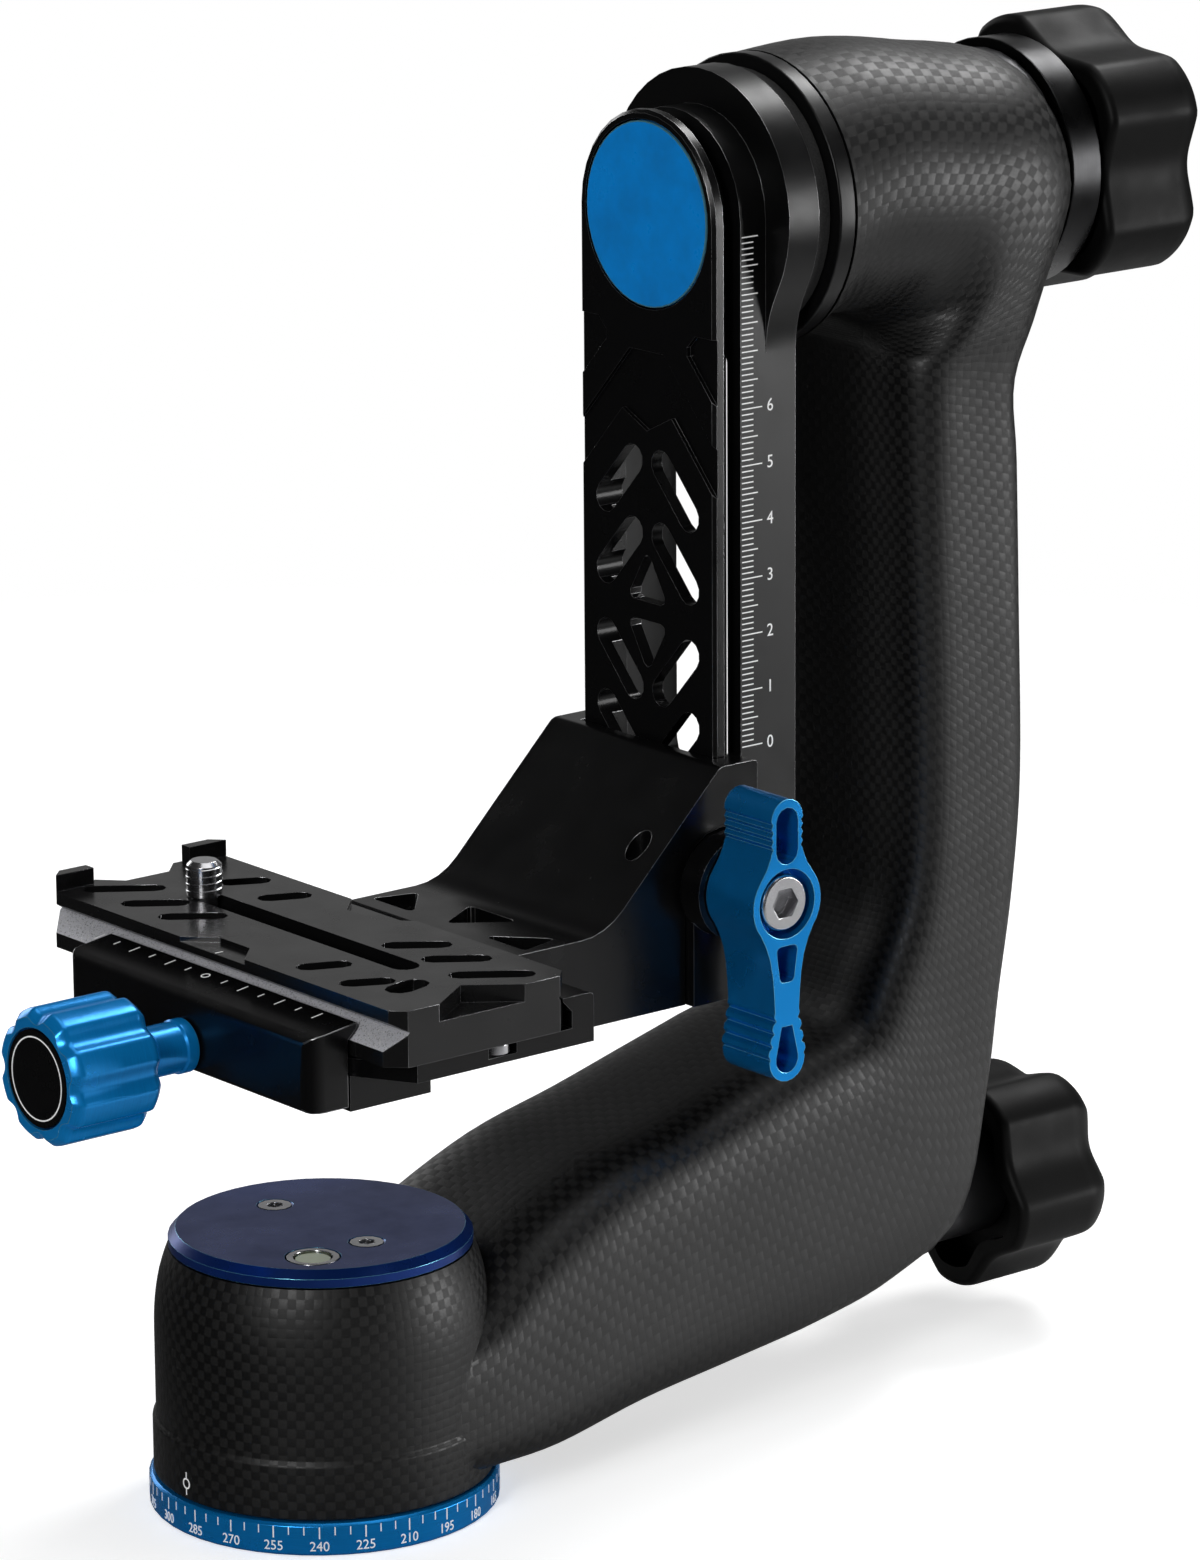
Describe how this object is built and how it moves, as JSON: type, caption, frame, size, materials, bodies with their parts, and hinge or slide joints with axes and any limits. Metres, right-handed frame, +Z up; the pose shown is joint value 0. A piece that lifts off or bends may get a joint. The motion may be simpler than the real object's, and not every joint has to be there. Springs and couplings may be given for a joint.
{
  "type": "gimbal tripod head",
  "caption": "Cantilever gimbal head with a carbon fibre arm: pans on a tripod, swings a long lens about its balance point, with a height-set cradle and a quick release plate.",
  "frame": {"origin": "centre of the tripod socket at the underside of the pan base, on the pan axis", "axes": "+Z up along the pan axis, +X along the tilt axis from the cradle towards the arm, +Y along the lens plate"},
  "size_m": [0.2438, 0.0995, 0.2429],
  "materials": {
    "blue_anodised": "satin blue anodised, polished sky-blue edges",
    "navy_anodised": "dark navy anodised, semi-gloss",
    "black_anodised": "satin black anodised",
    "carbon_fibre": "matt twill carbon fibre",
    "black_plastic": "semi-matt moulded black",
    "steel": "plain stainless",
    "bright_alloy": "turned, bare",
    "friction_disc": "matt friction lining",
    "vial_glass": "clear, pale yellow-green"
  },
  "bodies": {
    "base": {"pan_base": "blue_anodised", "pan_spindle": "steel", "lower_pan_bearing": "steel", "upper_pan_bearing": "steel", "pan_brake_drum": "steel", "spindle_nut": "steel", "base_screw_1": "steel", "base_screw_2": "steel", "base_screw_3": "steel", "base_screw_4": "steel"},
    "arm": {"carbon_arm": "carbon_fibre", "pan_sleeve": "bright_alloy", "cap_ring": "bright_alloy", "top_cap": "navy_anodised", "cap_screw_1": "steel", "cap_screw_2": "steel", "level_cup": "bright_alloy", "level_vial": "vial_glass", "tilt_sleeve": "bright_alloy", "tilt_face_ring": "black_anodised", "tilt_brake_disc": "friction_disc", "inner_tilt_bearing": "steel", "outer_tilt_bearing": "steel", "thrust_washer": "steel"},
    "pan_knob": {"pan_lock_knob": "black_plastic", "pan_knob_collar": "black_anodised", "pan_lock_rod": "steel"},
    "brake_shoe": {"pan_brake_shoe": "steel"},
    "tilt_knob": {"tilt_lock_knob": "black_plastic", "tilt_knob_collar": "bright_alloy", "tilt_lock_screw": "steel"},
    "swing": {"dovetail_rail": "black_anodised", "swing_plate": "black_anodised", "tilt_axle": "steel", "hub_disc": "blue_anodised", "hub_screw_1": "steel", "hub_screw_2": "steel", "hub_screw_3": "steel", "hub_screw_4": "steel", "rail_screw_1": "steel", "rail_screw_2": "steel"},
    "cradle": {"cradle_bracket": "black_anodised", "grub_screw": "black_anodised", "clamp_body": "black_anodised", "clamp_bolt_1": "steel", "clamp_bolt_2": "steel"},
    "rail_jaw": {"rail_jaw": "black_anodised"},
    "lever": {"height_lever": "blue_anodised", "lever_bolt": "steel"},
    "clamp_jaw": {"clamp_jaw": "black_anodised", "guide_pin_1": "steel", "guide_pin_2": "steel"},
    "clamp_knob": {"clamp_knob": "blue_anodised", "knob_insert": "black_anodised", "clamp_screw": "steel"},
    "lens_plate": {"lens_plate": "black_anodised", "stop_screw_near": "steel", "stop_screw_far": "steel"},
    "screw_slide": {"screw_washer": "steel"},
    "camera_screw": {"camera_screw": "steel"}
  },
  "joints": [
    {"name": "pan_turn", "type": "hinge", "parent": "base", "child": "arm", "pos_m": [0, 0, 0], "axis": [0, 0, 1], "continuous": true},
    {"name": "pan_lock_turn", "type": "hinge", "parent": "arm", "child": "pan_knob", "pos_m": [0.1456, 0, 0.02675], "axis": [1, 0, 0], "range_deg": [0, 360]},
    {"name": "brake_shoe_slide", "type": "slide", "parent": "arm", "child": "brake_shoe", "axis": [1, 0, 0], "range_m": [0, 0.001]},
    {"name": "tilt_turn", "type": "hinge", "parent": "arm", "child": "swing", "pos_m": [0.0921, 0, 0.2165], "axis": [1, 0, 0], "continuous": true},
    {"name": "tilt_lock_turn", "type": "hinge", "parent": "arm", "child": "tilt_knob", "pos_m": [0.1614, 0, 0.2165], "axis": [1, 0, 0], "range_deg": [0, 360]},
    {"name": "height_slide", "type": "slide", "parent": "swing", "child": "cradle", "axis": [0, 0, 1], "range_m": [0, 0.09]},
    {"name": "rail_jaw_slide", "type": "slide", "parent": "cradle", "child": "rail_jaw", "axis": [0, -1, 0], "range_m": [0, 0.00075]},
    {"name": "lever_turn", "type": "hinge", "parent": "rail_jaw", "child": "lever", "pos_m": [0.0696, -0.0421, 0.1028], "axis": [0, -1, 0], "range_deg": [0, 270]},
    {"name": "clamp_jaw_slide", "type": "slide", "parent": "cradle", "child": "clamp_jaw", "axis": [-1, 0, 0], "range_m": [0, 0.003]},
    {"name": "clamp_knob_turn", "type": "hinge", "parent": "clamp_jaw", "child": "clamp_knob", "pos_m": [-0.04, 0, 0.087], "axis": [-1, 0, 0], "range_deg": [0, 720]},
    {"name": "lens_plate_slide", "type": "slide", "parent": "cradle", "child": "lens_plate", "axis": [0, 1, 0], "range_m": [-0.008, 0.008]},
    {"name": "camera_screw_slide", "type": "slide", "parent": "lens_plate", "child": "screw_slide", "axis": [0, 1, 0], "range_m": [-0.0565, 0]},
    {"name": "camera_screw_turn", "type": "hinge", "parent": "screw_slide", "child": "camera_screw", "pos_m": [0, 0.032, 0.1011], "axis": [0, 0, 1], "continuous": true}
  ],
  "couplings": [
    {"joint": "pan_lock_turn", "follows": "brake_shoe_slide", "rad_per_m": 6283.2},
    {"joint": "lever_turn", "follows": "rail_jaw_slide", "rad_per_m": 6283.2},
    {"joint": "clamp_knob_turn", "follows": "clamp_jaw_slide", "rad_per_m": 4188.8}
  ]
}
